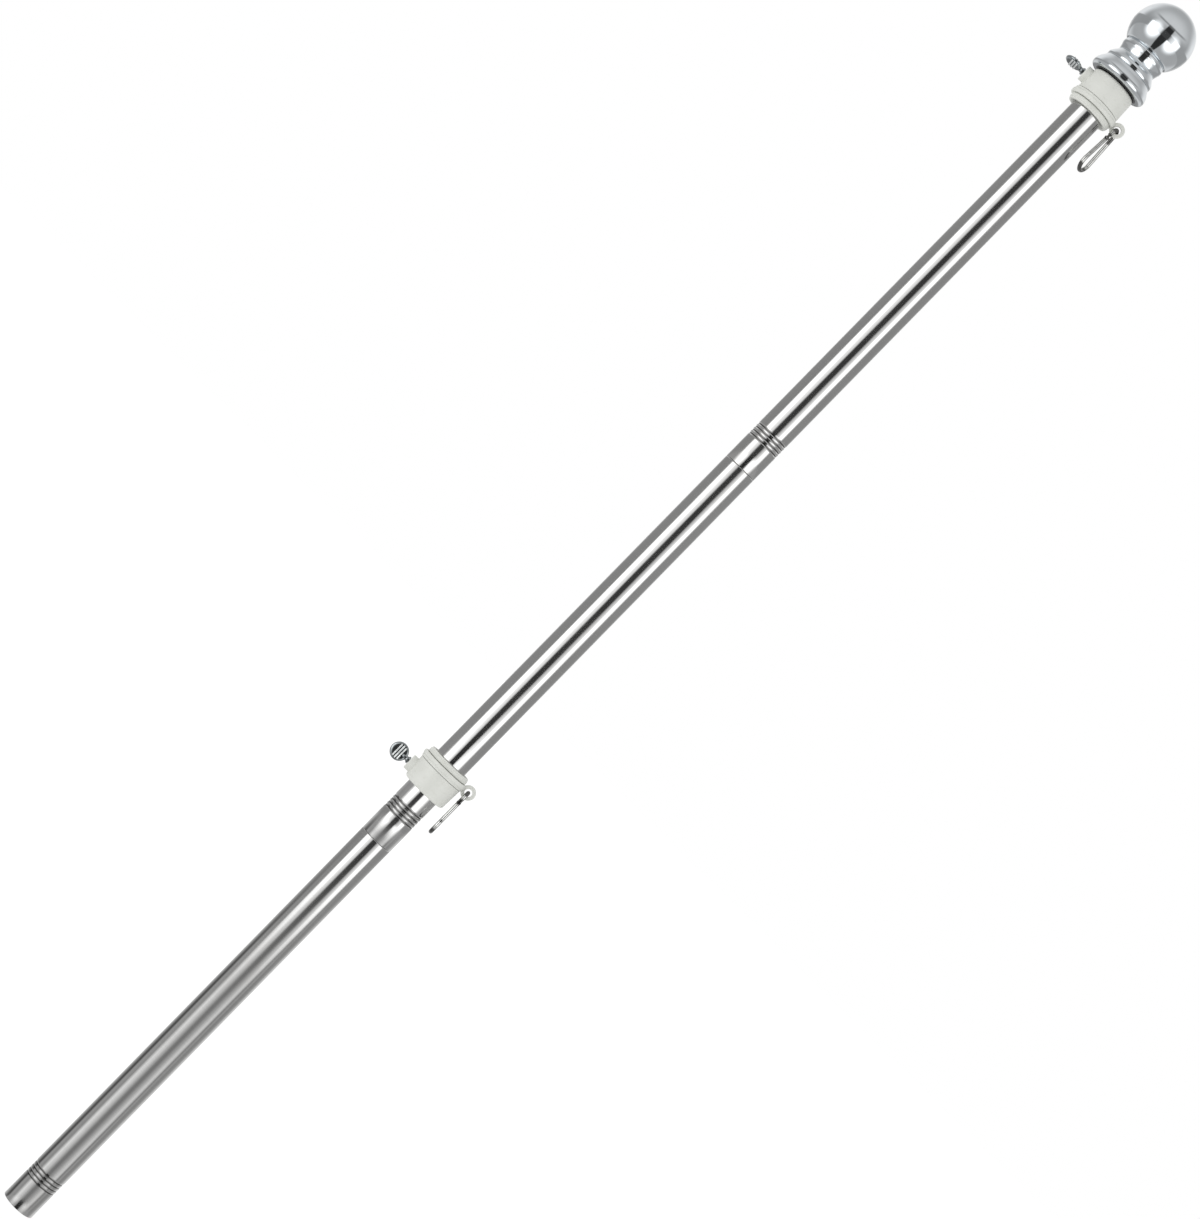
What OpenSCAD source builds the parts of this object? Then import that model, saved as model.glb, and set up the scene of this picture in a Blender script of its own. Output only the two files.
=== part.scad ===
// Sectional house flagpole: three stainless tubes that plug together, a chrome ball finial,
// and two turning-ring sets that carry the flag on snap clips.
// Frame: +Z runs up the pole, origin at the centre of the butt's end face, clips on the +X side.

/* [Pole] */
// Outside diameter of every tube
tube_od = 25.4; // [22:0.2:32]
// Wall of every tube
tube_wall = 0.8; // [0.6:0.1:1.2]
// Visible length of the lower section
lower_len = 353.5; // [300:0.5:420]
// Visible length of the middle section
middle_len = 358.5; // [300:0.5:420]
// Visible length of the upper section
upper_len = 369.9; // [320:0.1:420]
// Length of the swaged neck that enters the next tube
neck_len = 20.5; // [12:0.5:21]
// Radial gap between a neck and the tube around it
neck_gap = 0.05; // [0.05:0.05:0.2]

/* [Rolled grooves] */
// Grooves rolled round the lower end of each tube
groove_count = 4; // [1:1:5]
// Height of the first groove above the tube's lower end
groove_start = 22.4; // [22.4:0.1:40]
// Distance from one groove to the next
groove_pitch = 2.95; // [2.5:0.05:5]
// Depth of a groove
groove_depth = 0.35; // [0.15:0.05:0.5]
// Radius of the rolling wheel's edge
groove_round = 1.2; // [0.8:0.1:1.2]

/* [Finial] */
// Radius of the ball
ball_r = 23.7; // [20:0.1:26]
// Wall of the hollow ball
ball_wall = 1.8; // [1.5:0.1:3]
// Height of the ball's centre above the top of the pole
ball_rise = 45.8; // [44:0.1:48]
// Height of the finial base
base_h = 29.8; // [28.4:0.1:31]
// Radius of the cavity in the finial base
base_bore_r = 13.2; // [11:0.1:13.5]
// Radius of the black plug's flange
plug_r = 18.4; // [16:0.1:18.8]
// Thickness of the black plug's flange
plug_flange = 0.6; // [0.6:0.1:2]
// Depth of the plug inside the upper tube
plug_depth = 25; // [12:1:40]

/* [Ring sets] */
// Height of the lower set's free end above the butt
lower_set_z = 399.4; // [100:0.1:900]
// Height of the upper set's free end, which points up
upper_set_z = 1081.5; // [600:0.1:1081.5]
// Height of the collar that clamps on the pole
collar_h = 17.7; // [15:0.1:24]
// Outside radius of the collar where it meets the ring
collar_r = 18; // [17.4:0.1:18.2]
// Radial gap between the pole and the collar
collar_gap = 0.3; // [0.2:0.05:0.6]
// Height of the gap for the turning ring
ring_h = 5.6; // [5:0.1:7]
// Outside radius of the turning ring
ring_r = 19.4; // [19:0.1:20]
// Running gap round the turning ring
ring_gap = 0.3; // [0.2:0.05:0.4]
// Height of the end cap that keeps the ring on
cap_h = 4.2; // [3.5:0.1:6]
// Outside radius of the end cap
cap_r = 17.4; // [16.5:0.1:17.6]

/* [Ring ear] */
// Radius of the round ear on the ring
ear_r = 5.4; // [5:0.1:6]
// Thickness of the ear
ear_t = 2.4; // [2:0.1:2.4]
// Distance from the pole's axis to the ear's hole
ear_x = 23; // [22.8:0.1:24]
// Radius of the ear's hole
ear_hole_r = 2.8; // [2.4:0.1:3]
// Height of the ear above the middle of the ring, towards the end cap
ear_lift = 0.6; // [0:0.1:0.8]

/* [Thumbscrew] */
// Radius of the screw's shank
screw_r = 2; // [1.5:0.1:2.5]
// Distance of the screw's axis from the collar's free end
screw_z = 8.4; // [7:0.1:9]
// Radius of the boss that the screw runs in
boss_r = 5.9; // [4.5:0.1:6]
// Distance from the pole's axis to the boss's face
boss_face = 21.7; // [20:0.1:21.8]
// Radius of the screw's flat head
head_r = 6.75; // [5:0.05:8]
// Distance from the pole's axis to the middle of the head
head_x = 31.2; // [30:0.1:34]
// Thickness of the head at its middle
head_t = 3.2; // [2:0.1:4]
// Turn of the upper screw's head about its own axis
upper_head_turn = 80; // [0:5:355]

/* [Snap clip] */
// Radius of the clip's wire
wire_r = 1.5; // [1.2:0.1:1.5]
// Bend radius at the end that hangs in the ear, to the middle of the wire
clip_top_bend = 3.5; // [3.5:0.1:4]
// Bend radius at the wide end, to the middle of the wire
clip_low_bend = 7; // [6:0.1:9]
// Distance between the centres of the two bends
clip_reach = 26.5; // [24:0.5:40]
// Radius of the gate's rod
gate_r = 1.45; // [1.2:0.05:1.5]
// Radius of the gate's rivet
rivet_r = 0.6; // [0.5:0.05:0.7]
// Turn of the upper clip about its length, its back away from the pole
upper_clip_turn = 23; // [0:1:23]

/* [Hidden] */
$fn = 72;
tube_r = tube_od / 2;
bore_r = tube_r - tube_wall;
neck_r = bore_r - neck_gap;
neck_bore_r = neck_r - tube_wall;
shoulder = tube_r - neck_r;
groove_axis_r = tube_r + groove_round - groove_depth;
seam_1 = lower_len;
seam_2 = seam_1 + middle_len;
pole_top = seam_2 + upper_len;

// finial
base_z = pole_top + plug_flange;
base_top = base_z + base_h;
ball_z = pole_top + ball_rise;
cup_wall = 1.6;
spigot_r = 6;
spigot_len = 6;
curve_steps = 4;
// outlines as [radius, height above the base's foot]: foot bead, middle bead and waist, neck band
foot_bead = [
    [20.8, 0], [22.1, 0.4], [22.9, 1.5], [23.15, 2.7], [22.95, 4.3], [22.4, 6.2],
    [21.4, 8], [20.4, 9.4], [19.2, 11.6]
];
middle_bead = [
    [19.2, 11.6], [19.45, 13], [19.3, 14.4], [18.6, 15.7], [17.4, 17.3], [16.3, 18.7], [15.8, 20.2]
];
neck_band = [[15.8, 20.2], [16, 21.4], [16.6, 23.5], [17.25, 25.5], [17.2, 27.5], [16.4, base_h]];
// underside of the ball, from the neck out to the sphere, height from the base's top
ball_foot = [[17.2, 0], [17.9, 0.2]];
ball_foot_angle = -39;
ball_floor = 3;
flange_lean = 1;

// ring set, heights from the collar's free end
ring_low = collar_h + ring_gap;
ring_high = collar_h + ring_h - ring_gap;
cap_z = collar_h + ring_h;
cap_top = cap_z + cap_h;
hub_grip = 1.6;
hub_r = 15.3;
collar_bore_r = tube_r + collar_gap;
collar_foot_r = 17.4;
collar_edge = 2;
ring_step_r = 18.7;
ring_step_z = 2;
cap_step_r = 16.9;
cap_step_z = 2;
mouth_r = 15;
mouth_h = 2.2;
ear_z = collar_h + ring_h / 2 + ear_lift;
ear_clear = 0.6;
soft_edge = 0.7;
screw_fit = 0.06;
screw_tip_gap = 0.3;

// thumbscrew
shoulder_x = boss_face + 0.3;
shoulder_t = 1.3;
shoulder_r = 2.75;
waist_r = 1.5;
waist_x = 24.4;
head_edge_t = 1;
rib_count = 3;
rib_pitch = 2.05;
rib_w = 1;
rib_rise = 0.35;

// snap clip, in its own plane: origin where the wire passes through the ear, +x to its back
clip_drop = 0.1;
// the wire draws a little thinner where it stays straight
straight_r = wire_r - 0.03;
back = 1;
gate = -1;
clip_lean = asin((clip_low_bend - clip_top_bend) / clip_reach);
side_len = sqrt(pow(clip_reach, 2) - pow(clip_low_bend - clip_top_bend, 2));
hinge_s = 6;
nose_s = side_len - 1.7;
gate_end_s = nose_s - 0.3;
tongue_t = 1;
tongue_r = 1.2;
slot_t = 1.5;
slot_hinge_s = hinge_s + tongue_r + 0.4;
slot_latch_s = nose_s - 2.4;
rivet_fit = 0.06;
rivet_head_r = 0.95;
rivet_head_t = 0.3;

// ---- shared shapes ----

// a point on a smooth curve between b and c, with a and d as their neighbours
function between(a, b, c, d, t) =
    (2 * b + (c - a) * t + (2 * a - 5 * b + 4 * c - d) * t * t
        + (3 * b - a - 3 * c + d) * t * t * t) / 2;

// a smooth curve through the points p, without its last point
function curve(p) = [
    for (i = [0 : len(p) - 2], k = [0 : curve_steps - 1])
        between(p[max(i - 1, 0)], p[i], p[i + 1], p[min(i + 2, len(p) - 1)], k / curve_steps)
];

// half outline of a disc whose rim is rounded by edge, standing on z = 0
module soft_disc_outline(r, h, edge) {
    square([r - edge, h]);
    translate([0, edge])
        square([r, h - 2 * edge]);
    for (z = [edge, h - edge])
        translate([r - edge, z])
            circle(edge);
}

module soft_disc(r, h, edge) {
    rotate_extrude()
        soft_disc_outline(r, h, edge);
}

// ---- tubes ----

module groove_circles(r) {
    for (i = [0 : groove_count - 1])
        translate([groove_axis_r, groove_start + i * groove_pitch])
            circle(r);
}

// wall of a tube with its rolled grooves, which stand inside the bore as beads
module wall_outline(length) {
    difference() {
        union() {
            translate([bore_r, 0])
                square([tube_wall, length]);
            intersection() {
                groove_circles(groove_round + tube_wall);
                square([tube_r, length]);
            }
        }
        groove_circles(groove_round);
    }
}

// swaged end: a rounded shoulder and the thinner neck above it
module neck_outline(length) {
    translate([neck_bore_r, length - shoulder - tube_wall])
        square([bore_r - neck_bore_r + neck_gap, shoulder + tube_wall]);
    translate([neck_bore_r, length - shoulder])
        square([tube_wall, shoulder + neck_len]);
    intersection() {
        translate([neck_r, length - shoulder])
            circle(shoulder);
        translate([neck_r - neck_gap, length - shoulder])
            square(2 * shoulder);
    }
}

module plain_tube(z, length) {
    color("silver")
        translate([0, 0, z])
            rotate_extrude($fn = 120)
                wall_outline(length);
}

module necked_tube(z, length) {
    color("silver")
        translate([0, 0, z])
            rotate_extrude($fn = 120) {
                wall_outline(length - shoulder);
                neck_outline(length);
            }
}

// ---- finial ----

// black plastic plug: a cup in the tube's top, a flange on its rim, a boss in the base
module finial_plug() {
    color("#161616")
        translate([0, 0, pole_top]) {
            difference() {
                union() {
                    translate([0, 0, -plug_depth])
                        cylinder(r = neck_r, h = plug_depth);
                    cylinder(r1 = plug_r - flange_lean, r2 = plug_r, h = plug_flange);
                    cylinder(r = base_bore_r - neck_gap, h = plug_flange + 5);
                }
                translate([0, 0, -plug_depth - 1])
                    cylinder(r = neck_r - cup_wall, h = plug_depth);
            }
        }
}

module finial_base() {
    rim = [neck_band[len(neck_band) - 1]];
    outline = concat(curve(foot_bead), curve(middle_bead), curve(neck_band), rim);
    color("#d8dadc")
        translate([0, 0, base_z])
            difference() {
                rotate_extrude($fn = 120)
                    polygon(concat([[0, 0]], outline, [[0, base_h]]));
                translate([0, 0, -1])
                    cylinder(r = base_bore_r, h = base_h - 2);
                cylinder(r = spigot_r + neck_gap, h = base_h + 1);
            }
}

module finial_ball() {
    rise = ball_z - base_top;
    foot = curve(concat(ball_foot, [ball_r * [cos(ball_foot_angle), sin(ball_foot_angle)] + [0, rise]]));
    round = [for (a = [ball_foot_angle : 3 : 89]) ball_r * [cos(a), sin(a)] + [0, rise]];
    color("#d8dadc")
        translate([0, 0, base_top])
            difference() {
                union() {
                    rotate_extrude($fn = 120)
                        polygon(concat([[0, 0]], foot, round, [[0, ball_r + rise]]));
                    translate([0, 0, -spigot_len])
                        cylinder(r = spigot_r, h = spigot_len);
                }
                intersection() {
                    translate([0, 0, rise])
                        sphere(ball_r - ball_wall);
                    translate([0, 0, ball_floor])
                        cylinder(r = ball_r, h = 2 * ball_r);
                }
                translate([0, 0, -spigot_len - 1])
                    cylinder(r = spigot_r - ball_wall, h = spigot_len + ball_floor + 2);
            }
}

// ---- ring set ----

// collar: clamps on the pole, with the screw's boss and the hub that the ring turns on
module collar() {
    color("#e2e3da")
        difference() {
            union() {
                rotate_extrude($fn = 120) {
                    polygon([
                        [0, 0], [collar_foot_r - collar_edge, 0], [collar_foot_r, collar_edge],
                        [collar_r, collar_h], [0, collar_h]
                    ]);
                    translate([collar_foot_r - collar_edge, collar_edge])
                        circle(collar_edge);
                    square([hub_r, cap_z + hub_grip]);
                }
                translate([-collar_bore_r - 1, 0, screw_z])
                    rotate([0, -90, 0])
                        soft_disc(boss_r, boss_face - collar_bore_r - 1, soft_edge);
            }
            translate([0, 0, -1])
                cylinder(r = collar_bore_r, h = cap_top + 2, $fn = 120);
            translate([0, 0, screw_z])
                rotate([0, -90, 0])
                    cylinder(r = screw_r + screw_fit, h = boss_face + 1);
        }
}

// turning ring: two steps round the hub and a flat round ear with the clip's hole
module ring() {
    height = ring_high - ring_low;
    color("#e2e3da")
        difference() {
            union() {
                translate([0, 0, ring_low])
                    rotate_extrude($fn = 120) {
                        soft_disc_outline(ring_step_r, height, soft_edge);
                        translate([0, ring_step_z])
                            soft_disc_outline(ring_r, height - ring_step_z, soft_edge);
                    }
                translate([ear_x, ear_t / 2, ear_z])
                    rotate([90, 0, 0])
                        soft_disc(ear_r, ear_t, soft_edge);
                translate([hub_r + 1, -ear_t / 2, ring_low])
                    cube([ear_x - hub_r - 1, ear_t, height]);
            }
            translate([0, 0, ring_low - 1])
                cylinder(r = hub_r + ring_gap, h = ring_h + 2, $fn = 120);
            translate([0, 0, ring_low - 2 * ear_r])
                cylinder(r = collar_r + ear_clear, h = 2 * ear_r, $fn = 120);
            translate([0, 0, ring_high])
                cylinder(r = cap_r + ear_clear, h = 2 * ear_r, $fn = 120);
            translate([ear_x, 0, ear_z])
                rotate([90, 0, 0])
                    cylinder(r = ear_hole_r, h = 2 * ear_t, center = true);
        }
}

// end cap: pressed on the hub, it keeps the ring in place, its mouth flared round the pole
module ring_cap() {
    color("#e2e3da")
        difference() {
            rotate_extrude($fn = 120) {
                translate([0, cap_z])
                    soft_disc_outline(cap_r, cap_h - 1.2, soft_edge);
                translate([0, cap_z + cap_step_z])
                    soft_disc_outline(cap_step_r, cap_h - cap_step_z, soft_edge);
            }
            cylinder(r = collar_bore_r, h = cap_top + 1, $fn = 120);
            cylinder(r = hub_r, h = cap_z + hub_grip, $fn = 120);
            translate([0, 0, cap_top - mouth_h])
                cylinder(r1 = collar_bore_r, r2 = mouth_r, h = mouth_h, $fn = 120);
        }
}

// ---- thumbscrew, along +Z from the pole's axis ----

// a round head, thinner at its rim, that faces +Y and -Y
module lens(thickness, rim_thickness) {
    sag = (thickness - rim_thickness) / 2;
    face_r = (pow(head_r, 2) + pow(sag, 2)) / (2 * sag);
    rotate([90, 0, 0])
        rotate_extrude()
            intersection() {
                translate([0, thickness / 2 - face_r])
                    circle(face_r, $fn = 240);
                translate([0, face_r - thickness / 2])
                    circle(face_r, $fn = 240);
                translate([0, -thickness])
                    square([head_r, 2 * thickness]);
            }
}

module thumbscrew() {
    color("#8d9498") {
        translate([0, 0, tube_r + screw_tip_gap])
            cylinder(r = screw_r, h = shoulder_x - tube_r - screw_tip_gap);
        translate([0, 0, shoulder_x])
            cylinder(r = shoulder_r, h = shoulder_t);
        translate([0, 0, shoulder_x + shoulder_t])
            cylinder(r1 = shoulder_r - 0.3, r2 = waist_r, h = waist_x - shoulder_x - shoulder_t);
        translate([0, 0, waist_x])
            cylinder(r = waist_r, h = head_x - waist_x);
        translate([0, 0, head_x]) {
            lens(head_t, head_edge_t);
            intersection() {
                lens(head_t + 2 * rib_rise, head_edge_t + 2 * rib_rise);
                for (i = [0 : rib_count - 1])
                    translate([0, 0, (i - (rib_count - 1) / 2) * rib_pitch - 0.3])
                        cube([2 * head_r - 3, 2 * head_t, rib_w], center = true);
            }
        }
    }
}

// the screw in its boss, turned by some angle about its own axis
module placed_screw(z, turn) {
    translate([0, 0, z])
        rotate([turn, 0, 0])
            rotate([0, -90, 0])
                thumbscrew();
}

// ---- snap clip, drawn flat: x to its back, y up ----

// from the flat drawing to the pole's frame, hung in the ear's hole
module hang(z, turn) {
    translate([ear_x, 0, z - clip_drop])
        rotate([0, 0, -turn])
            rotate([90, 0, 90])
                children();
}

module wire_bend(centre, radius, from, to) {
    translate([0, centre, 0])
        rotate([0, 0, from])
            rotate_extrude(angle = to - from)
                translate([radius, 0])
                    circle(wire_r);
}

// places its child on one side of the clip, back or gate, s down from the top bend
module on_side(side, s) {
    translate([0, -clip_top_bend, 0])
        rotate([0, 0, side * clip_lean])
            translate([side * clip_top_bend, -s, 0])
                children();
}

// a rod along one side from s1 to s2
module side_rod(side, radius, s1, s2) {
    on_side(side, s2)
        rotate([-90, 90, 0])
            cylinder(r = radius, h = s2 - s1);
}

// a flat tongue along the gate's side
module tongue(s1, s2) {
    on_side(gate, s2)
        translate([-tongue_r, 0, -tongue_t / 2])
            cube([2 * tongue_r, s2 - s1, tongue_t]);
}

module clip() {
    color("#a9aeb2")
        difference() {
            union() {
                wire_bend(-clip_top_bend, clip_top_bend, clip_lean, 180 - clip_lean);
                wire_bend(-clip_top_bend - clip_reach, clip_low_bend, -180 - clip_lean, clip_lean);
                side_rod(back, straight_r, 0, side_len);
                side_rod(gate, straight_r, 0, hinge_s - 2.6);
                side_rod(gate, straight_r, nose_s, side_len);
                tongue(hinge_s - 3.5, hinge_s);
                on_side(gate, hinge_s)
                    cylinder(r = tongue_r, h = tongue_t, center = true);
                tongue(nose_s - 2, nose_s + 0.5);
            }
            on_side(gate, hinge_s)
                cylinder(r = rivet_r + rivet_fit, h = 4 * wire_r, center = true);
        }
}

module clip_gate() {
    color("#8d9498")
        difference() {
            union() {
                side_rod(gate, gate_r, hinge_s, gate_end_s);
                on_side(gate, hinge_s)
                    sphere(gate_r);
            }
            for (ends = [[hinge_s - 3, slot_hinge_s], [slot_latch_s, gate_end_s + 1]])
                on_side(gate, ends[1])
                    translate([-2 * gate_r, 0, -slot_t / 2])
                        cube([4 * gate_r, ends[1] - ends[0], slot_t]);
            on_side(gate, hinge_s)
                cylinder(r = rivet_r, h = 4 * gate_r, center = true);
        }
}

module clip_rivet() {
    color("#6f7478")
        on_side(gate, hinge_s) {
            cylinder(r = rivet_r, h = 2 * gate_r, center = true);
            for (side = [0, 180])
                rotate([side, 0, 0])
                    translate([0, 0, gate_r - 0.1])
                        cylinder(r1 = rivet_head_r, r2 = rivet_r, h = rivet_head_t);
        }
}

// ---- placing the two sets ----

// the lower set stands on its collar
module lower_set() {
    translate([0, 0, lower_set_z])
        children();
}

// the upper set is the same one turned over
module upper_set() {
    translate([0, 0, upper_set_z])
        rotate([180, 0, 0])
            children();
}

lower_ear_z = lower_set_z + ear_z;
upper_ear_z = upper_set_z - ear_z;

necked_tube(0, lower_len);  // lower_tube
necked_tube(seam_1, middle_len);  // middle_tube
plain_tube(seam_2, upper_len);  // upper_tube
finial_plug();
finial_base();
finial_ball();
lower_set() collar();  // lower_collar
lower_set() ring();  // lower_ring
lower_set() ring_cap();  // lower_ring_cap
placed_screw(lower_set_z + screw_z, 0);  // lower_thumbscrew
hang(lower_ear_z, 0) clip();  // lower_clip
hang(lower_ear_z, 0) clip_gate();  // lower_clip_gate
hang(lower_ear_z, 0) clip_rivet();  // lower_clip_rivet
upper_set() collar();  // upper_collar
upper_set() ring();  // upper_ring
upper_set() ring_cap();  // upper_ring_cap
placed_screw(upper_set_z - screw_z, upper_head_turn);  // upper_thumbscrew
hang(upper_ear_z, upper_clip_turn) clip();  // upper_clip
hang(upper_ear_z, upper_clip_turn) clip_gate();  // upper_clip_gate
hang(upper_ear_z, upper_clip_turn) clip_rivet();  // upper_clip_rivet
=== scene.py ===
import math

import bmesh
import bpy
from mathutils import Matrix, Vector


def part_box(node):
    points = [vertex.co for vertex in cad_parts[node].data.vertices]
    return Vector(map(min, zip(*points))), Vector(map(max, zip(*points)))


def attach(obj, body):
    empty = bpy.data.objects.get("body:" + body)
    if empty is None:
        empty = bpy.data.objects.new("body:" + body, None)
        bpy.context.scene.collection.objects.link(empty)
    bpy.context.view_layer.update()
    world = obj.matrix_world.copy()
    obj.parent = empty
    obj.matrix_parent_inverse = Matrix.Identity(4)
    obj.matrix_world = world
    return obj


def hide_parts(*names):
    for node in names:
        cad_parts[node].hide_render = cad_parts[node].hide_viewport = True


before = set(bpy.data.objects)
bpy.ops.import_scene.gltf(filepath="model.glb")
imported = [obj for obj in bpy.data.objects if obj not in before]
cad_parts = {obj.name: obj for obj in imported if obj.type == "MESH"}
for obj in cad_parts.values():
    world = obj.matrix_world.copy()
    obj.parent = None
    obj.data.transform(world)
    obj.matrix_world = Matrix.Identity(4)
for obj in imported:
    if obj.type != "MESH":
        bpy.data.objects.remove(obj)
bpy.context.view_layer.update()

MM = 0.001

# Camera. A long lens level with the middle of the pole, rolled over on its side so that the
# upright pole crosses the frame from the lower left to the upper right.
POLE_SLANT = math.radians(44.41)
AIM = Vector((-0.0007, 0, 0.5746))
DISTANCE = 2.3

lens = bpy.data.cameras.new("portrait_lens")
lens.lens = 98.4
lens.sensor_width = 36
lens.clip_start = 0.05
camera = bpy.data.objects.new("camera", lens)
bpy.context.scene.collection.objects.link(camera)
to_right = Vector((math.cos(POLE_SLANT), 0, math.sin(POLE_SLANT)))
to_top = Vector((-math.sin(POLE_SLANT), 0, math.cos(POLE_SLANT)))
towards_camera = Vector((0, -1, 0))
camera.matrix_world = (
    Matrix.Translation(AIM + DISTANCE * towards_camera)
    @ Matrix((to_right, to_top, towards_camera)).transposed().to_4x4()
)
bpy.context.scene.camera = camera

# Studio. A white room with two tall soft panels at the front, a dark gap between them and a grey
# ceiling. Metal mirrors the panels; matt surfaces are lit evenly by the whole white room.


class Field:
    """A number that varies over a surface. Arithmetic on it adds Math nodes."""

    def __init__(self, socket):
        self.socket = socket

    def calc(self, operation, *others):
        tree = self.socket.id_data
        node = tree.nodes.new("ShaderNodeMath")
        node.operation = operation
        for entry, value in zip(node.inputs, others):
            fill(entry, value)
        return Field(node.outputs[0])

    def __add__(self, other):
        return self.calc("ADD", self, other)

    def __radd__(self, other):
        return self.calc("ADD", other, self)

    def __sub__(self, other):
        return self.calc("SUBTRACT", self, other)

    def __rsub__(self, other):
        return self.calc("SUBTRACT", other, self)

    def __mul__(self, other):
        return self.calc("MULTIPLY", self, other)

    def __rmul__(self, other):
        return self.calc("MULTIPLY", other, self)

    def __truediv__(self, other):
        return self.calc("DIVIDE", self, other)

    def __rtruediv__(self, other):
        return self.calc("DIVIDE", other, self)

    def __pow__(self, other):
        return self.calc("POWER", self, other)

    def __abs__(self):
        return self.calc("ABSOLUTE", self)


def fill(entry, value):
    """Links a field to a socket, or sets the socket to a plain value."""
    if isinstance(value, Field):
        value.socket.id_data.links.new(entry, value.socket)
    else:
        entry.default_value = value


class Nodes:
    """The node tree of the studio or of one finish."""

    def __init__(self, tree):
        self.tree = tree

    def add(self, kind, settings=None, inputs=None, output=0):
        node = self.tree.nodes.new(kind)
        for name, value in (settings or {}).items():
            if name == "stops":
                self.set_stops(node.color_ramp, value)
            else:
                setattr(node, name, value)
        for name, value in (inputs or {}).items():
            fill(node.inputs[name], value)
        return Field(node.outputs[output])

    def set_stops(self, ramp, stops):
        while len(ramp.elements) < len(stops):
            ramp.elements.new(1)
        for element, (place, shade) in zip(ramp.elements, stops):
            element.position = place
            element.color = (shade, shade, shade, 1) if isinstance(shade, float) else (*shade, 1)

    def ease(self, value, start, end):
        """0 before start, 1 after end, and smooth between them."""
        settings = {"interpolation_type": "SMOOTHSTEP"}
        low, high, swap = (start, end, False) if start < end else (end, start, True)
        eased = self.add("ShaderNodeMapRange", settings,
                         {"Value": value, "From Min": low, "From Max": high})
        return 1 - eased if swap else eased

    def blend(self, factor, first, second):
        """From the colour first, where factor is 0, to second, where it is 1."""
        settings = {"data_type": "RGBA"}
        return self.add("ShaderNodeMix", settings, {0: factor, 6: first, 7: second}, output=2)

    def place(self, stretch=(1, 1, 1)):
        """Where a point is on its piece, in metres, with each axis stretched."""
        where = self.add("ShaderNodeTexCoord", output=3)
        settings = {"operation": "MULTIPLY"}
        return self.add("ShaderNodeVectorMath", settings, {0: where, 1: stretch})

    def split(self, vector):
        parts = self.tree.nodes.new("ShaderNodeSeparateXYZ")
        fill(parts.inputs[0], vector)
        return [Field(socket) for socket in parts.outputs]

    def noise(self, stretch, detail=2.0):
        """Cloudy variation, mostly from 0.3 to 0.7, with features 1 / stretch metres long."""
        inputs = {"Vector": self.place(stretch), "Scale": 1.0, "Detail": detail, "Roughness": 0.5}
        return self.add("ShaderNodeTexNoise", None, inputs)


# the walls and panels at eye level: degrees round the pole from the camera's side, brightness
PANELS = [
    (-180, 0.1), (-175, 0.12), (-168, 0.6), (-157, 0.58), (-146, 0.35), (-69, 0.34), (-60, 2.1),
    (-40, 2.1), (-33, 1.35), (-18, 1.0), (-10, 0.06), (17, 0.055), (26, 0.72), (38, 1.05),
    (46, 2.0), (62, 2.0), (73, 0.36), (146, 0.36), (157, 0.58), (168, 0.6), (175, 0.12), (180, 0.1),
]
BRIGHTEST = 2.2
CEILING = 0.46
CEILING_FRONT = 0.22
GROUND = 0.44
SIDE_LIGHT = 0.5
REAR_LIGHT = 0.25
WALL = 0.36
GAP_LIGHT = 0.03
GAP_MIDDLE = 3.5
# above and below eye level each panel fades out in a soft round
PANEL_MIDDLE = 41
PANEL_FOOT = -6
PANEL_GLOW = 1.75
PANEL_REACH = (43, 8)
PANEL_SHARPNESS = 1.5
# where each part of the room starts and is in full: degrees above level, or round the pole
EYE_LEVEL = (-8, -4.5)
CEILING_FOOT = (12.6, 15)
CEILING_RISE = (13, 40)
GAP_EDGE = (17, 12)
GAP_FOOT = (-78, -72)
GAP_TOP = (44, 28)
REAR_WALL = (116, 146)
REAR_FOOT = (-60, -40)
REAR_GAP = (169, 176)
REAR_GAP_DEPTH = 0.6
SIDE_WALL = (95, 135)
SIDE_TOP = (60, 20)
# the ceiling is brighter over the camera, from one slope to the other of the way it is seen
FRONT_SLOPE = (0.3, -0.6)
# a thin dark line across the front of the ceiling
EDGE_HEIGHT = 36
EDGE_WIDTH = (5, 1)
EDGE_ENDS = (95, 50)
EDGE_DEPTH = 0.5
# the light on matt surfaces: all round, and what it gains towards the clips and the ceiling
EVEN = 0.92
EVEN_EAST = 0.13
EVEN_UP = 0.17

world = bpy.data.worlds.new("studio")
bpy.context.scene.world = world
world.use_nodes = True
world.cycles.sampling_method = "NONE"
world.node_tree.nodes.clear()
studio = Nodes(world.node_tree)
east, north, up = studio.split(studio.add("ShaderNodeTexCoord"))


def angle_round(nodes, x, y):
    """Degrees round the pole from the camera's side, positive towards the clips."""
    return nodes.add("ShaderNodeMath", {"operation": "ARCTAN2"}, {0: x, 1: 0 - y}) * (180 / math.pi)


def panel_light(nodes, angle, panels):
    """Brightness of a ring of panels, from their list of directions."""
    stops = [(turn / 360 + 0.5, light / BRIGHTEST) for turn, light in panels]
    return nodes.add("ShaderNodeValToRGB", {"stops": stops}, {"Fac": angle / 360 + 0.5}) * BRIGHTEST


around = angle_round(studio, east, north)
height = up.calc("ARCSINE", up) * (180 / math.pi)
off_front = abs(around)
gap = studio.ease(abs(around - GAP_MIDDLE), *GAP_EDGE) * studio.ease(height, *GAP_FOOT)
aside = abs(off_front - PANEL_MIDDLE)
from_panel = (aside * aside + (height - PANEL_FOOT) ** 2) ** 0.5
panel_rounds = PANEL_GLOW * studio.ease(from_panel, *PANEL_REACH) ** PANEL_SHARPNESS

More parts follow.
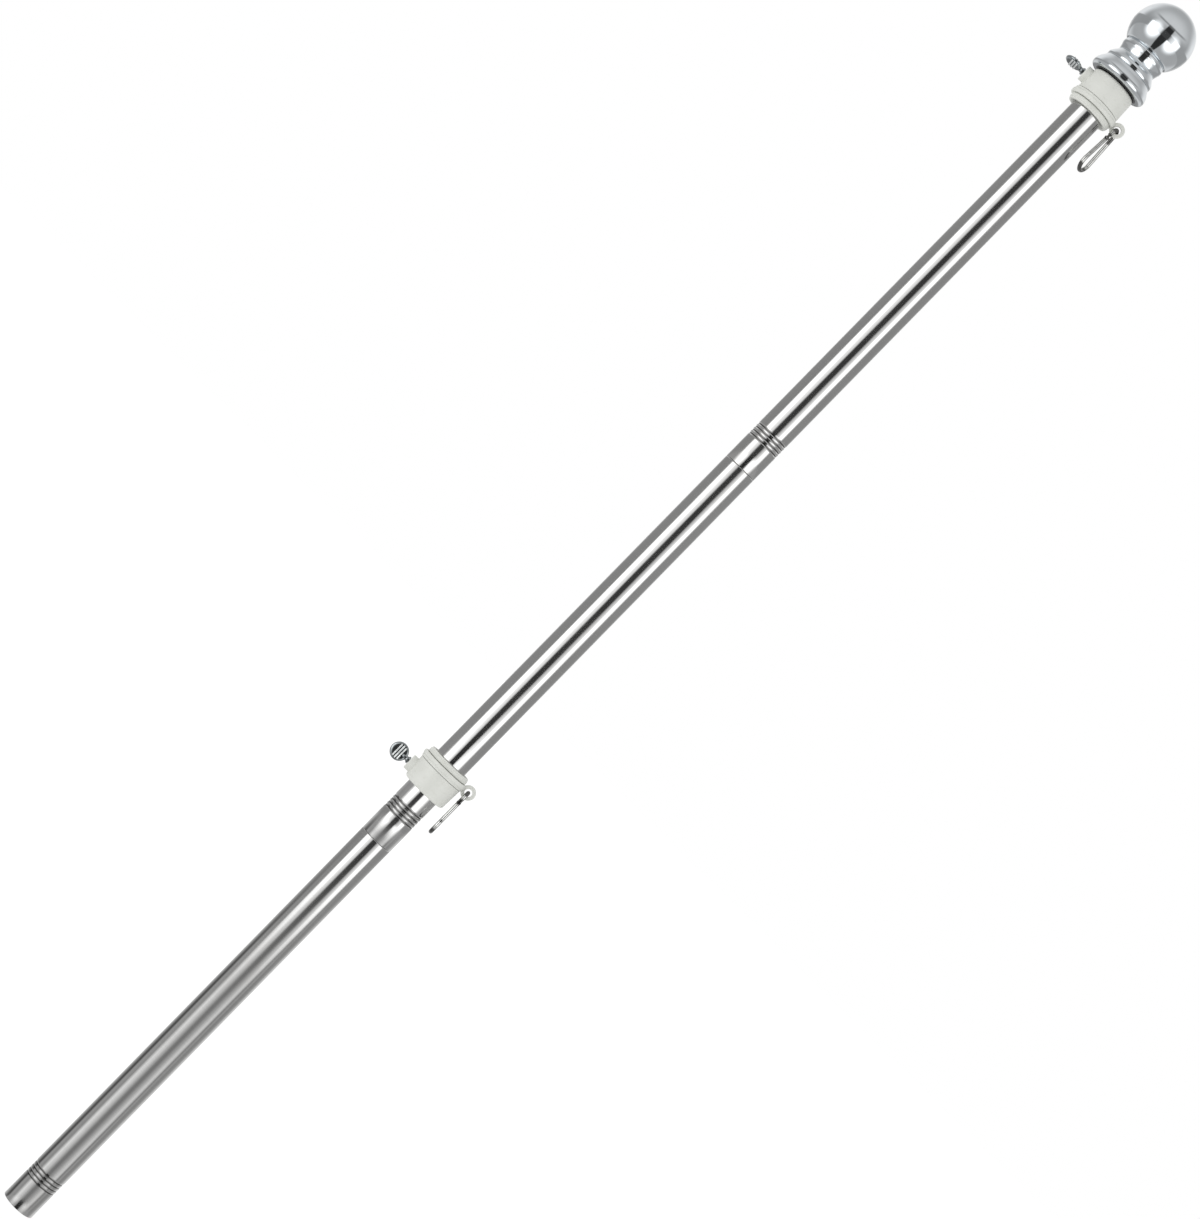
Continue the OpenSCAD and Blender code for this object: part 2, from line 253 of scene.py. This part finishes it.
rear_rise = studio.ease(height, *REAR_FOOT)
lower_room = GROUND + panel_rounds
lower_room = lower_room + REAR_LIGHT * studio.ease(off_front, *REAR_WALL) * rear_rise
lower_room = lower_room * (1 - REAR_GAP_DEPTH * studio.ease(off_front, *REAR_GAP) * rear_rise)
lower_room = lower_room * (1 - gap) + GAP_LIGHT * gap

ceiling = CEILING - WALL + CEILING_FRONT * studio.ease(north, *FRONT_SLOPE)
ceiling = WALL + ceiling * studio.ease(height, *CEILING_RISE) + panel_rounds
ceiling = ceiling + SIDE_LIGHT * studio.ease(off_front, *SIDE_WALL) * studio.ease(height, *SIDE_TOP)
gap_top = studio.ease(height, *GAP_TOP) * gap
ceiling = ceiling * (1 - gap_top) + GAP_LIGHT * gap_top

straight = studio.ease(height, *EYE_LEVEL)
overhead = studio.ease(height, *CEILING_FOOT)
mirrored = lower_room * (1 - straight) + panel_light(studio, around, PANELS) * straight
mirrored = mirrored * (1 - overhead) + ceiling * overhead
edge = studio.ease(abs(height - EDGE_HEIGHT), *EDGE_WIDTH) * studio.ease(off_front, *EDGE_ENDS)
mirrored = mirrored * (1 - EDGE_DEPTH * edge)
even = EVEN - EVEN_EAST * east + EVEN_UP * up

rays = world.node_tree.nodes.new("ShaderNodeLightPath")
seen = Field(rays.outputs["Is Camera Ray"])
matt = Field(rays.outputs["Is Diffuse Ray"])
room = even * matt + mirrored * (1 - matt)
room = seen + room * (1 - seen)
light = studio.add("ShaderNodeBackground", None, {"Color": (1, 1, 1, 1), "Strength": room})
outlet = world.node_tree.nodes.new("ShaderNodeOutputWorld")
fill(outlet.inputs["Surface"], light)
bpy.context.scene.view_settings.view_transform = "Standard"

# Low screen. A round of soft grey cloth about the foot of the pole, which only metal mirrors;
# its top edge thins out where the lower tube ends.
SCREEN_R = 0.5
SCREEN_FOOT = -0.25
SCREEN_TOP = 0.37
SCREEN_FULL = 0.14
SCREEN_SIDES = 72
SCREEN_PANELS = [
    (-180, 0.8), (-140, 0.5), (-112, 0.1), (-101, 0.12), (-90, 0.46), (-66, 0.38), (-46, 1.1),
    (-24, 0.72), (-4, 0.28), (8, 0.26), (30, 0.55), (50, 0.92), (57, 0.85), (69, 0.3),
    (82, 0.46), (94, 0.32), (115, 0.4), (140, 0.8), (180, 0.8),
]

screen_turns = [2 * math.pi * i / SCREEN_SIDES for i in range(SCREEN_SIDES)]
corners = [(SCREEN_R * math.sin(a), SCREEN_R * math.cos(a)) for a in screen_turns]
screen_mesh = bpy.data.meshes.new("low_screen")
screen_mesh.from_pydata(
    [(x, y, z) for z in (SCREEN_FOOT, SCREEN_TOP) for x, y in corners], [],
    [(i, (i + 1) % SCREEN_SIDES, (i + 1) % SCREEN_SIDES + SCREEN_SIDES, i + SCREEN_SIDES)
     for i in range(SCREEN_SIDES)])
screen = bpy.data.objects.new("low_screen", screen_mesh)
bpy.context.scene.collection.objects.link(screen)
cloth = bpy.data.materials.new("screen_cloth")
cloth.use_nodes = True
cloth.node_tree.nodes.clear()
weave = Nodes(cloth.node_tree)
cloth_x, cloth_y, cloth_z = weave.split(weave.place())
cloth_light = panel_light(weave, angle_round(weave, cloth_x, cloth_y), SCREEN_PANELS)
shining = weave.add("ShaderNodeEmission", None, {"Strength": cloth_light})
clear = weave.add("ShaderNodeBsdfTransparent")
cover = weave.ease(cloth_z, SCREEN_TOP, SCREEN_FULL)
cloth_surface = weave.add("ShaderNodeMixShader", None, {0: cover, 1: clear, 2: shining})
cloth_outlet = cloth.node_tree.nodes.new("ShaderNodeOutputMaterial")
fill(cloth_outlet.inputs["Surface"], cloth_surface)
screen_mesh.materials.append(cloth)
for kind in ("camera", "diffuse", "transmission", "volume_scatter", "shadow"):
    setattr(screen, f"visible_{kind}", False)

# Floor. A plain white sheet under the butt, which glows so that only the faintest contact
# shadow is left; the metal doesn't mirror it.
FLOOR_HALF = 14.0
PAPER_TONE = 0.25
PAPER_GLOW = 0.82

floor_mesh = bpy.data.meshes.new("floor")
floor_mesh.from_pydata(
    [(x * FLOOR_HALF, y * FLOOR_HALF, 0) for x, y in ((-1, -1), (1, -1), (1, 1), (-1, 1))], [],
    [(0, 1, 2, 3)])
floor = bpy.data.objects.new("floor", floor_mesh)
bpy.context.scene.collection.objects.link(floor)
paper = bpy.data.materials.new("white_paper")
paper.use_nodes = True
paper_shader = paper.node_tree.nodes["Principled BSDF"]
paper_shader.inputs["Base Color"].default_value = (PAPER_TONE, PAPER_TONE, PAPER_TONE, 1)
paper_shader.inputs["Roughness"].default_value = 1.0
paper_shader.inputs["Specular IOR Level"].default_value = 0.0
paper_shader.inputs["Emission Color"].default_value = (1, 1, 1, 1)
paper_shader.inputs["Emission Strength"].default_value = PAPER_GLOW
floor_mesh.materials.append(paper)
floor.visible_glossy = False

# Tubes. Three sections of thin-walled stainless tube, belt-polished all round, each with four
# grooves rolled near its lower end and a neck at its top that plugs into the next section.
TUBE_R = 12.7
TUBE_WALL = 0.8
NECK_R = 11.85
NECK_LENGTH = 20.5
LIP = 0.15
FIRST_GROOVE = 22.4
GROOVE_PITCH = 2.95
GROOVE_DEPTH = 0.36
GROOVE_COUNT = 4
GROOVE_STEPS = 14
# how far the painted shade of each groove reaches, and its darkest core, in millimetres
GROOVE_SHADE_HALF = 0.72
GROOVE_SHADE_CORE = 0.2
SHOULDER_STEPS = 6
ROUND_STEPS = 128
MERGE_GAP = 0.001
# the dark metal that the painted shade in grooves and bends, and the clips' dark spots, blend towards
SPOT_AND_SHADE_METAL = (0.07, 0.068, 0.065, 1)


def turned(shape, outline, place=Matrix(), steps=ROUND_STEPS, paint=0):
    """Adds what an outline of (radius, height) in millimetres sweeps round its own axis."""
    rows = []
    circle = [2 * math.pi * i / steps for i in range(steps)]
    for r, z in outline:
        rows.append([
            shape.verts.new(place @ Vector((r * MM * math.cos(a), r * MM * math.sin(a), z * MM)))
            for a in circle
        ])
    for low, high in zip(rows, rows[1:]):
        for i in range(steps):
            shape.faces.new((low[i - 1], low[i], high[i], high[i - 1])).material_index = paint


def made(name, shape, materials, body, crease=30):
    """Turns a shape into a finished piece that stands for the CAD node of that name."""
    bmesh.ops.remove_doubles(shape, verts=shape.verts, dist=MERGE_GAP * MM)
    bmesh.ops.recalc_face_normals(shape, faces=shape.faces)
    mesh = bpy.data.meshes.new(f"{name}_piece")
    shape.to_mesh(mesh)
    shape.free()
    mesh.shade_smooth()
    mesh.set_sharp_from_angle(angle=math.radians(crease))
    for material in materials:
        mesh.materials.append(material)
    piece = bpy.data.objects.new(f"{name}_piece", mesh)
    bpy.context.scene.collection.objects.link(piece)
    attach(piece, body)
    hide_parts(name)


def grooved(wave):
    """How deep the rolling went at a height of wave pitches above the first groove."""
    return 0.5 + 0.5 * math.cos(2 * math.pi * wave) if -0.5 < wave < GROOVE_COUNT - 0.5 else 0


def tube_outline(length, necked):
    """One section's wall, up the outside and down the inside, closed on itself."""
    inner = TUBE_R - TUBE_WALL
    line = [(inner, 0), (TUBE_R - LIP, 0), (TUBE_R - 0.3 * LIP, 0.3 * LIP), (TUBE_R, LIP)]
    for k in range(GROOVE_COUNT * GROOVE_STEPS + 1):
        wave = k / GROOVE_STEPS - 0.5
        line.append((TUBE_R - GROOVE_DEPTH * grooved(wave), FIRST_GROOVE + wave * GROOVE_PITCH))
    shoulder = TUBE_R - NECK_R
    if necked:
        bend = [math.radians(90 * k / SHOULDER_STEPS) for k in range(SHOULDER_STEPS + 1)]
        line += [(NECK_R + shoulder * math.cos(a), length - shoulder * (1 - math.sin(a))) for a in bend]
        line += [(NECK_R, length + NECK_LENGTH), (NECK_R - TUBE_WALL, length + NECK_LENGTH),
                 (NECK_R - TUBE_WALL, length - 2 * shoulder)]
    else:
        line += [(TUBE_R, length - LIP), (TUBE_R - LIP, length), (inner, length)]
    return line + [(inner, length - 3 * shoulder), (inner, 0)]


def new_finish(name):
    """An empty finish: its material, its nodes and its shader."""
    material = bpy.data.materials.new(name)
    material.use_nodes = True
    return material, Nodes(material.node_tree), material.node_tree.nodes["Principled BSDF"]


def bump(nodes, height, depth):
    """Surface relief, from 0 to depth metres deep."""
    return nodes.add("ShaderNodeBump", None, {"Height": height, "Distance": depth, "Strength": 1.0})


def dress(obj, material):
    """Puts one finish on every face of a CAD node."""
    for material_slot in obj.material_slots:
        material_slot.material = material


def polished_tube_with_groove_shade(name, foot):
    """Polished stainless steel for a tube whose lower end is at the height foot, with painted shade
    darkening each rolled groove.
    """
    material, nodes, shader = new_finish(name)
    belt_marks = nodes.noise((60, 60, 5200), detail=3.0)
    draw_marks = nodes.noise((2600, 2600, 9))
    handling = nodes.noise((55, 55, 22), detail=3.0)
    specks = nodes.ease(nodes.noise((1500, 1500, 1500)), 0.70, 0.76)
    height = nodes.split(nodes.place())[2]
    # painted shade: each rolled groove is darkened towards a dark metal colour, as if shadowed
    painted_groove_shade = 0
    for i in range(GROOVE_COUNT):
        centre = foot + (FIRST_GROOVE + i * GROOVE_PITCH) * MM
        painted_groove_shade = painted_groove_shade + nodes.ease(abs(height - centre), GROOVE_SHADE_HALF * MM, GROOVE_SHADE_CORE * MM)
    grain = 0.5 * belt_marks + 0.5 * draw_marks
    clean = nodes.blend(nodes.ease(grain, 0.36, 0.64), (0.585, 0.585, 0.58, 1), (0.665, 0.662, 0.655, 1))
    worn = nodes.blend(nodes.ease(handling, 0.52, 0.72), clean, (0.60, 0.595, 0.585, 1))
    worn = nodes.blend(0.3 * specks, worn, (0.30, 0.29, 0.28, 1))
    fill(shader.inputs["Base Color"], nodes.blend(0.92 * painted_groove_shade, worn, SPOT_AND_SHADE_METAL))
    rough = 0.10 + 0.05 * nodes.ease(handling, 0.4, 0.7) + 0.09 * (grain - 0.5) + 0.12 * specks
    fill(shader.inputs["Roughness"], rough + 0.06 * painted_groove_shade)
    shader.inputs["Metallic"].default_value = 1.0
    fill(shader.inputs["Normal"], bump(nodes, belt_marks + 0.4 * draw_marks, 0.004 * MM))
    return material


sections = ("lower_tube", "middle_tube", "upper_tube")
seams = [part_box(name)[0].z for name in sections] + [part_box("upper_tube")[1].z]
for name, foot, top in zip(sections, seams, seams[1:]):
    tube_shape = bmesh.new()
    tube_line = tube_outline((top - foot) / MM, name != "upper_tube")
    turned(tube_shape, tube_line, Matrix.Translation((0, 0, foot)))
    made(name, tube_shape, [polished_tube_with_groove_shade(f"polished_{name}", foot)], "pole", 40)

# Ball and base. Spun metal, chromed all over: a hollow ball with a short rim, on a base of
# two beads and a neck band that stands on the plug in the top tube.
FOOT_BEAD = [
    (20.6, 0), (22.0, 0.4), (22.9, 1.5), (23.15, 2.7), (22.95, 4.3), (22.4, 6.2), (21.4, 8.0),
    (20.4, 9.4), (19.35, 11.35), (18.75, 11.6),
]
MIDDLE_BEAD = [
    (18.75, 11.6), (19.3, 11.95), (19.45, 13.0), (19.3, 14.4), (18.6, 15.7), (17.4, 17.3),
    (16.3, 18.7), (15.85, 19.9), (15.4, 20.2),
]
NECK_BAND = [
    (15.4, 20.2), (15.9, 20.5), (16.05, 21.4), (16.6, 23.5), (17.25, 25.5), (17.2, 27.5),
    (16.85, 28.9), (16.3, 29.8),
]
BASE_MOUTH_R = 13.2
SEAT_R = 6
# the ball's rim from the base's top out to the sphere
BALL_FOOT = [(16.3, 0), (17.2, 0.05), (17.9, 0.2)]
BALL_R = 23.7
BALL_RISE = 15.4
BALL_LOWEST = -39
BALL_STEPS = 80


def curved(points, steps=6):
    """A smooth line through all the points."""
    line = []
    for i in range(len(points) - 1):
        a, b, c, d = (Vector(points[min(max(k, 0), len(points) - 1)]) for k in range(i - 1, i + 3))
        for t in (k / steps for k in range(steps)):
            line.append((2 * b + (c - a) * t + (2 * a - 5 * b + 4 * c - d) * t * t
                         + (3 * b - a - 3 * c + d) * t * t * t) / 2)
    return line + [Vector(points[-1])]


def chromed():
    material, nodes, shader = new_finish("bright_chrome")
    ripple = nodes.noise((90, 90, 90), detail=1.0)
    haze = nodes.noise((45, 45, 60), detail=4.0)
    pits = nodes.ease(nodes.noise((1900, 1900, 1900)), 0.77, 0.83)
    tone = nodes.blend(nodes.ease(haze, 0.4, 0.7), (0.79, 0.825, 0.85, 1), (0.74, 0.77, 0.79, 1))
    fill(shader.inputs["Base Color"], nodes.blend(0.4 * pits, tone, (0.2, 0.2, 0.2, 1)))
    fill(shader.inputs["Roughness"], 0.05 + 0.05 * nodes.ease(haze, 0.45, 0.7) + 0.2 * pits)
    shader.inputs["Metallic"].default_value = 1.0
    fill(shader.inputs["Normal"], bump(nodes, ripple, 0.015 * MM))
    return material


chrome = chromed()
base_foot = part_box("finial_base")[0].z
base_height = NECK_BAND[-1][1]
base_shape = bmesh.new()
base_outline = [Vector((BASE_MOUTH_R, 0))] + curved(FOOT_BEAD) + curved(MIDDLE_BEAD) + curved(NECK_BAND)
base_outline.append(Vector((SEAT_R, base_height)))
turned(base_shape, base_outline, Matrix.Translation((0, 0, base_foot)))
made("finial_base", base_shape, [chrome], "pole")

ball_shape = bmesh.new()
sphere_line = [
    Vector((BALL_R * math.cos(a), BALL_R * math.sin(a) + BALL_RISE))
    for a in (math.radians(BALL_LOWEST + (90 - BALL_LOWEST) * k / BALL_STEPS) for k in range(BALL_STEPS + 1))
]
ball_outline = [Vector((SEAT_R, 0))] + curved(BALL_FOOT + [tuple(sphere_line[0])]) + sphere_line[1:]
turned(ball_shape, ball_outline, Matrix.Translation((0, 0, base_foot + base_height * MM)))
made("finial_ball", ball_shape, [chrome], "pole")

# Plug. A moulded plastic cup pushed into the top tube, coloured black so that its thin flange
# shows as a dark ring under the chromed base: painted shade for the dark gap there.


def black_moulding_as_shade():
    material, nodes, shader = new_finish("black_moulding_gap_shade")
    skin = nodes.noise((1400, 1400, 1400), detail=2.0)
    dust = nodes.noise((160, 160, 400), detail=3.0)
    tone = nodes.blend(nodes.ease(dust, 0.5, 0.75), (0.010, 0.010, 0.011, 1), (0.030, 0.029, 0.028, 1))
    fill(shader.inputs["Base Color"], tone)
    fill(shader.inputs["Roughness"], 0.42 + 0.2 * (dust - 0.5))
    fill(shader.inputs["Normal"], bump(nodes, skin, 0.015 * MM))
    return material


dress(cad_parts["finial_plug"], black_moulding_as_shade())

# Ring sets. Off-white injection-moulded plastic: a collar that a thumbscrew clamps on the pole,
# a turning ring with a round ear, and a cap pressed on the collar's hub to keep the ring on.


def moulded_white():
    material, nodes, shader = new_finish("off_white_moulding")
    flow = nodes.noise((70, 70, 150), detail=3.0)
    skin = nodes.noise((1100, 1100, 1100), detail=3.0)
    grime = nodes.ease(nodes.noise((260, 260, 500), detail=4.0), 0.56, 0.74)
    tone = nodes.blend(nodes.ease(flow, 0.35, 0.65), (0.652, 0.662, 0.622, 1), (0.672, 0.682, 0.643, 1))
    fill(shader.inputs["Base Color"], nodes.blend(0.25 * grime, tone, (0.50, 0.50, 0.44, 1)))
    fill(shader.inputs["Roughness"], 0.40 + 0.12 * (flow - 0.5) + 0.1 * grime)
    fill(shader.inputs["Normal"], bump(nodes, skin + 0.5 * flow, 0.02 * MM))
    return material


white = moulded_white()
for side in ("lower", "upper"):
    for name in ("collar", "ring", "ring_cap"):
        dress(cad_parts[f"{side}_{name}"], white)

# Snap clips. Bent nickel-plated wire with a sprung gate, a little dull from handling, with painted shade
# at its bends and hinge. Each painted shade stretch is given by how far it is from that end, and half its
# length.
SHADE_FOOT = [(1.5, 4.5)]
SHADE_TOP = [(1.5, 3), (9.5, 3.5)]


def nickelled(name, bright, dull, shaded_ends=()):
    """Nickel plate with a few dark spots, and painted shade over each listed end stretch: a middle height
    and a half length.
    """
    material, nodes, shader = new_finish(name)
    cloud = nodes.noise((240, 240, 240), detail=4.0)
    grain = nodes.noise((2500, 2500, 2500), detail=2.0)
    spots = nodes.ease(nodes.noise((700, 700, 700), detail=3.0), 0.66, 0.78)
    tone = nodes.blend(nodes.ease(cloud, 0.38, 0.66), (*bright, 1), (*dull, 1))
    spots_and_shade = 0.4 * spots
    height = nodes.split(nodes.place())[2]
    # painted shade: the wire is darkened over each listed end stretch, where the bends and hinge fall in
    # shadow
    for middle, half in shaded_ends:
        spots_and_shade = spots_and_shade + 0.85 * nodes.ease(abs(height - middle), half, 0.6 * half)
    spots_and_shade = spots_and_shade.calc("MINIMUM", spots_and_shade, 0.9)
    fill(shader.inputs["Base Color"], nodes.blend(spots_and_shade, tone, SPOT_AND_SHADE_METAL))
    fill(shader.inputs["Roughness"], 0.09 + 0.08 * nodes.ease(cloud, 0.4, 0.7) + 0.15 * spots)
    shader.inputs["Metallic"].default_value = 1.0
    fill(shader.inputs["Normal"], bump(nodes, grain + cloud, 0.003 * MM))
    return material


for side in ("lower", "upper"):
    clip_low, clip_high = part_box(f"{side}_clip")
    shaded_ends = [(clip_low.z + rise * MM, reach * MM) for rise, reach in SHADE_FOOT]
    shaded_ends += [(clip_high.z - drop * MM, reach * MM) for drop, reach in SHADE_TOP]
    wire_nickel_and_shade = nickelled(f"nickelled_{side}_wire", (0.74, 0.745, 0.73), (0.60, 0.60, 0.58), shaded_ends)
    for name in ("clip", "clip_gate", "clip_rivet"):
        dress(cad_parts[f"{side}_{name}"], wire_nickel_and_shade)

# Thumbscrews. Die-cast and nickel-plated: a threaded shank with a small shoulder, a flared neck
# and a flat round head with three half-round ribs across each face for the fingers.
HEAD_R = 6.75
HEAD_X = 31.2
HEAD_FACE = [
    (0, 1.42), (3, 1.40), (4.9, 1.30), (5.7, 1.18), (6.2, 0.98), (6.55, 0.68), (6.72, 0.34), (HEAD_R, 0),
]
TIP_X = 13.0
SHANK = [(0, TIP_X), (1.6, TIP_X), (2.0, 13.4), (2.0, 22.0)]
SHOULDER = [(2.0, 22.0), (2.6, 22.0), (2.75, 22.15), (2.75, 23.15), (2.6, 23.3), (2.3, 23.3)]
NECK = [(2.3, 23.3), (1.95, 23.8), (1.75, 24.5), (1.8, 25.4), (1.75, 26.4), (1.5, 27.6), (0.8, 28.6)]
NECK_END_X = 28.9
RIB_R = 0.62
RIB_PITCH = 2.05
RIB_SHIFT = -0.3
RIB_CENTRE = 1.28
RIB_INSET = 1.0
RIB_END = [(0, 1), (0.45, 0.93), (0.8, 0.7), (0.97, 0.35), (1, 0)]
SCREW_STEPS = 48
HEAD_STEPS = 96
RIB_STEPS = 24
HEAD_TURNS = {"lower": 0, "upper": 80}

cast_face = nickelled("nickelled_casting", (0.42, 0.45, 0.46), (0.31, 0.33, 0.34))
# the ribs get a much brighter nickel than the dark faces
rib_nickel = nickelled("bright_rib_nickel", (0.80, 0.82, 0.82), (0.66, 0.68, 0.68))
for side in ("lower", "upper"):
    corner_low, corner_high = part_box(f"{side}_thumbscrew")
    along_screw = (
        Matrix.Translation((0, 0, (corner_low.z + corner_high.z) / 2))
        @ Matrix.Rotation(math.radians(HEAD_TURNS[side]), 4, "X") @ Matrix.Rotation(-math.pi / 2, 4, "Y")
    )
    screw_shape = bmesh.new()
    stem = SHANK + SHOULDER + curved(NECK) + [Vector((0, NECK_END_X))]
    turned(screw_shape, stem, along_screw, SCREW_STEPS)
    head_place = along_screw @ Matrix.Translation((0, 0, HEAD_X * MM))
    half = curved(HEAD_FACE, 4)
    disc = half + [Vector((r, -y)) for r, y in reversed(half[:-1])]
    turned(screw_shape, disc, head_place @ Matrix.Rotation(-math.pi / 2, 4, "X"), HEAD_STEPS)
    for face in (-1, 1):
        for k in (-1, 0, 1):
            offset = k * RIB_PITCH + RIB_SHIFT
            reach = math.sqrt((HEAD_R - RIB_INSET) ** 2 - offset ** 2)
            rib = [(r * RIB_R, RIB_R * (1 - z) - reach) for r, z in RIB_END]
            rib = rib + [(r, -z) for r, z in reversed(rib)]
            rib_place = head_place @ Matrix.Translation((0, face * RIB_CENTRE * MM, offset * MM))
            turned(screw_shape, rib, rib_place @ Matrix.Rotation(math.pi / 2, 4, "Y"), RIB_STEPS, 1)
    made(f"{side}_thumbscrew", screw_shape, [cast_face, rib_nickel], f"{side}_screw_body")
